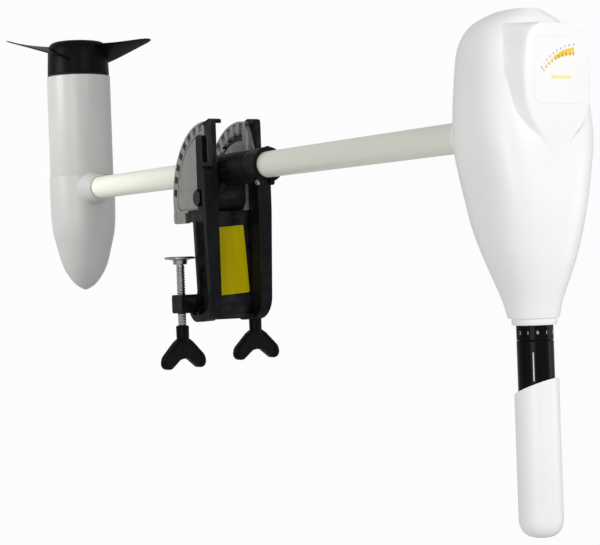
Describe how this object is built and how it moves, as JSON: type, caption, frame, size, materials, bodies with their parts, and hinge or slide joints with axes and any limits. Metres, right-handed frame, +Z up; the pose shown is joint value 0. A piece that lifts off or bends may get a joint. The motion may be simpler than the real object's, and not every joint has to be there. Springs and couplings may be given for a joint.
{
  "type": "electric outboard motor",
  "caption": "Transom-mounted electric outboard motor: clamp bracket with toothed tilt plates, long shaft, motor pod with propeller, control head and telescoping tiller grip.",
  "frame": {"origin": "middle of the clamp bridge's underside, where the top edge of the boat's transom carries it", "axes": "+X forward into the boat, along the tiller; +Y to port; +Z up, along the upright shaft"},
  "size_m": [0.55, 0.1866, 1.1425],
  "materials": {
    "black_casting": "black powder-coated casting, satin",
    "black_plastic": "moulded black nylon, semi-gloss",
    "cast_aluminium": "bare die-cast, satin",
    "steel": "stainless steel",
    "blackened_steel": "blackened steel, satin",
    "white_plastic": "moulded white plastic, gloss",
    "cream_composite": "glass-fibre composite tube, gloss",
    "grey_paint": "painted casting, satin",
    "yellow_film": "plain yellow film",
    "nylon": "natural nylon",
    "rubber": "black rubber",
    "copper": "turned copper",
    "laminated_steel": "stacked steel laminations",
    "ferrite": "ferrite ceramic, matt",
    "carbon": "pressed carbon",
    "circuit_board": "glass-fibre board"
  },
  "bodies": {
    "transom_clamp": {"clamp_wall_port": "black_casting", "clamp_wall_starboard": "black_casting", "quadrant_port": "cast_aluminium", "quadrant_starboard": "cast_aluminium", "clamp_bridge": "black_casting", "bridge_label": "yellow_film", "bridge_bolt": "blackened_steel", "pivot_bolt": "blackened_steel", "pivot_nut": "blackened_steel"},
    "pad_starboard": {"clamp_pad_starboard": "steel"},
    "pad_port": {"clamp_pad_port": "steel"},
    "screw_starboard": {"clamp_screw_starboard": "steel", "clamp_handle_starboard": "black_plastic"},
    "screw_port": {"clamp_screw_port": "steel", "clamp_handle_port": "black_plastic"},
    "yoke": {"tilt_yoke": "black_casting", "swivel_bush_lower": "nylon", "swivel_bush_upper": "nylon"},
    "lock": {"lock_pin": "steel", "lock_tab": "black_plastic"},
    "tension": {"tension_knob": "black_plastic", "tension_screw": "steel"},
    "collar": {"depth_collar": "black_casting", "collar_screw": "steel"},
    "drive": {"shaft_tube": "cream_composite", "motor_cable": "rubber", "nose_cone": "grey_paint", "motor_tube": "grey_paint", "rear_cap": "black_casting", "magnet_upper": "ferrite", "magnet_lower": "ferrite", "brush_plate": "nylon", "brush_port": "carbon", "brush_starboard": "carbon", "bearing_front": "steel", "bearing_rear": "steel", "shaft_seal": "rubber", "tie_bolt_port": "steel", "tie_bolt_starboard": "steel", "head_base": "white_plastic", "head_cover": "white_plastic", "meter_membrane": "white_plastic", "meter_board": "circuit_board", "cable_gland": "black_plastic", "tiller_ring": "white_plastic", "speed_dial": "black_plastic", "speed_switch": "black_plastic"},
    "rotor": {"armature_axle": "steel", "armature": "laminated_steel", "commutator": "copper", "drive_pin": "steel", "propeller": "black_plastic", "propeller_washer": "steel", "propeller_nut": "steel"},
    "throttle": {"throttle_tube": "black_plastic"},
    "grip": {"inner_tube": "black_plastic", "grip": "white_plastic"}
  },
  "joints": [
    {"name": "tilt", "type": "hinge", "parent": "transom_clamp", "child": "yoke", "pos_m": [-0.068, 0, 0.021], "axis": [0, 1, 0], "range_deg": [0, 87.2]},
    {"name": "swivel", "type": "hinge", "parent": "yoke", "child": "collar", "pos_m": [-0.099, 0, 0], "axis": [0, 0, 1], "continuous": true},
    {"name": "depth", "type": "slide", "parent": "collar", "child": "drive", "axis": [0, 0, 1], "range_m": [-0.28, 0.15]},
    {"name": "propeller_turn", "type": "hinge", "parent": "drive", "child": "rotor", "pos_m": [-0.099, 0, -0.4], "axis": [1, 0, 0], "continuous": true},
    {"name": "throttle_turn", "type": "hinge", "parent": "drive", "child": "throttle", "pos_m": [-0.099, 0, 0.595], "axis": [1, 0, 0], "range_deg": [-90, 150]},
    {"name": "grip_reach", "type": "slide", "parent": "throttle", "child": "grip", "axis": [1, 0, 0], "range_m": [0, 0.12]},
    {"name": "pad_travel_starboard", "type": "slide", "parent": "transom_clamp", "child": "pad_starboard", "axis": [1, 0, 0], "range_m": [-0.012, 0.028]},
    {"name": "screw_turn_starboard", "type": "hinge", "parent": "pad_starboard", "child": "screw_starboard", "pos_m": [0, -0.047, -0.007], "axis": [1, 0, 0], "range_deg": [-1441, 3361]},
    {"name": "pad_travel_port", "type": "slide", "parent": "transom_clamp", "child": "pad_port", "axis": [1, 0, 0], "range_m": [-0.007, 0.028]},
    {"name": "screw_turn_port", "type": "hinge", "parent": "pad_port", "child": "screw_port", "pos_m": [0, 0.047, -0.007], "axis": [1, 0, 0], "range_deg": [-841, 3361]},
    {"name": "tension_turn", "type": "hinge", "parent": "yoke", "child": "tension", "pos_m": [-0.099, 0, 0.086], "axis": [-0.5446, 0.8387, 0], "range_deg": [-90, 90]},
    {"name": "lock_release", "type": "slide", "parent": "yoke", "child": "lock", "axis": [-0.1149, 0, -0.9934], "range_m": [0, 0.012]}
  ],
  "couplings": [
    {"joint": "screw_turn_starboard", "follows": "pad_travel_starboard", "rad_per_m": 2094.4},
    {"joint": "screw_turn_port", "follows": "pad_travel_port", "rad_per_m": 2094.4}
  ]
}
